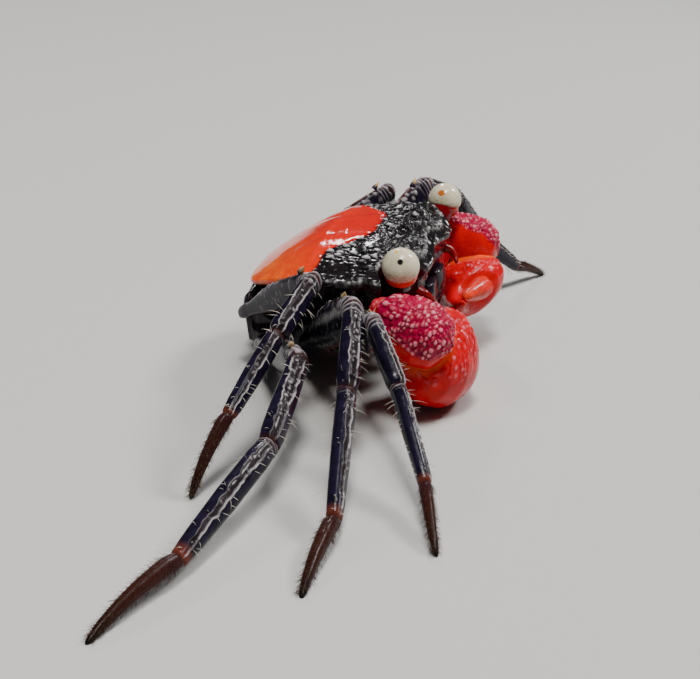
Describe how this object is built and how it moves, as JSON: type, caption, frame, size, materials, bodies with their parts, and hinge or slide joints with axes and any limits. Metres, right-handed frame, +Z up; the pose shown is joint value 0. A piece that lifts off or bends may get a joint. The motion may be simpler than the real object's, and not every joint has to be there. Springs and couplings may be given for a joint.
{
  "type": "vampire crab figure",
  "caption": "Small long-legged land crab standing with its claws folded in front of its face: red claws, dark legs, orange back patch and pale eyes.",
  "frame": {"origin": "middle of the footprint on the floor that the leg tips stand on", "axes": "+Z up, -Y the way the crab faces, +X to its left across the spread of the legs"},
  "size_m": [0.0674, 0.0176, 0.0111],
  "materials": {
    "carapace": "wet glossy shell, black wrinkled front and orange-red patch behind",
    "underside": "smooth dark shell",
    "leg": "wet purple-black shell with fine pale ridges",
    "leg_tip": "brown shell, hairy",
    "claw": "wet deep red shell, granular on the outer side",
    "cornea": "smooth creamy white with fine dark speckles",
    "eyestalk": "smooth orange-red to dark red"
  },
  "bodies": {
    "root": {"antenna_left": "underside", "antenna_right": "underside", "carapace": "carapace", "cheliped_carpus_left": "claw", "cheliped_carpus_right": "claw", "cheliped_finger_left": "claw", "cheliped_finger_right": "claw", "cheliped_merus_left": "claw", "cheliped_merus_right": "claw", "cheliped_palm_left": "claw", "cheliped_palm_right": "claw", "cornea_left": "cornea", "cornea_right": "cornea", "eyestalk_left": "eyestalk", "eyestalk_right": "eyestalk", "leg2_carpus_left": "leg", "leg2_carpus_right": "leg", "leg2_dactylus_left": "leg_tip", "leg2_dactylus_right": "leg_tip", "leg2_merus_left": "leg", "leg2_merus_right": "leg", "leg2_propodus_left": "leg", "leg2_propodus_right": "leg", "leg3_carpus_left": "leg", "leg3_carpus_right": "leg", "leg3_dactylus_left": "leg_tip", "leg3_dactylus_right": "leg_tip", "leg3_merus_left": "leg", "leg3_merus_right": "leg", "leg3_propodus_left": "leg", "leg3_propodus_right": "leg", "leg4_carpus_left": "leg", "leg4_carpus_right": "leg", "leg4_dactylus_left": "leg_tip", "leg4_dactylus_right": "leg_tip", "leg4_merus_left": "leg", "leg4_merus_right": "leg", "leg4_propodus_left": "leg", "leg4_propodus_right": "leg", "leg5_carpus_left": "leg", "leg5_carpus_right": "leg", "leg5_dactylus_left": "leg_tip", "leg5_dactylus_right": "leg_tip", "leg5_merus_left": "leg", "leg5_merus_right": "leg", "leg5_propodus_left": "leg", "leg5_propodus_right": "leg", "maxilliped_left": "underside", "maxilliped_right": "underside", "pleon": "underside", "thorax": "underside"}
  },
  "joints": []
}
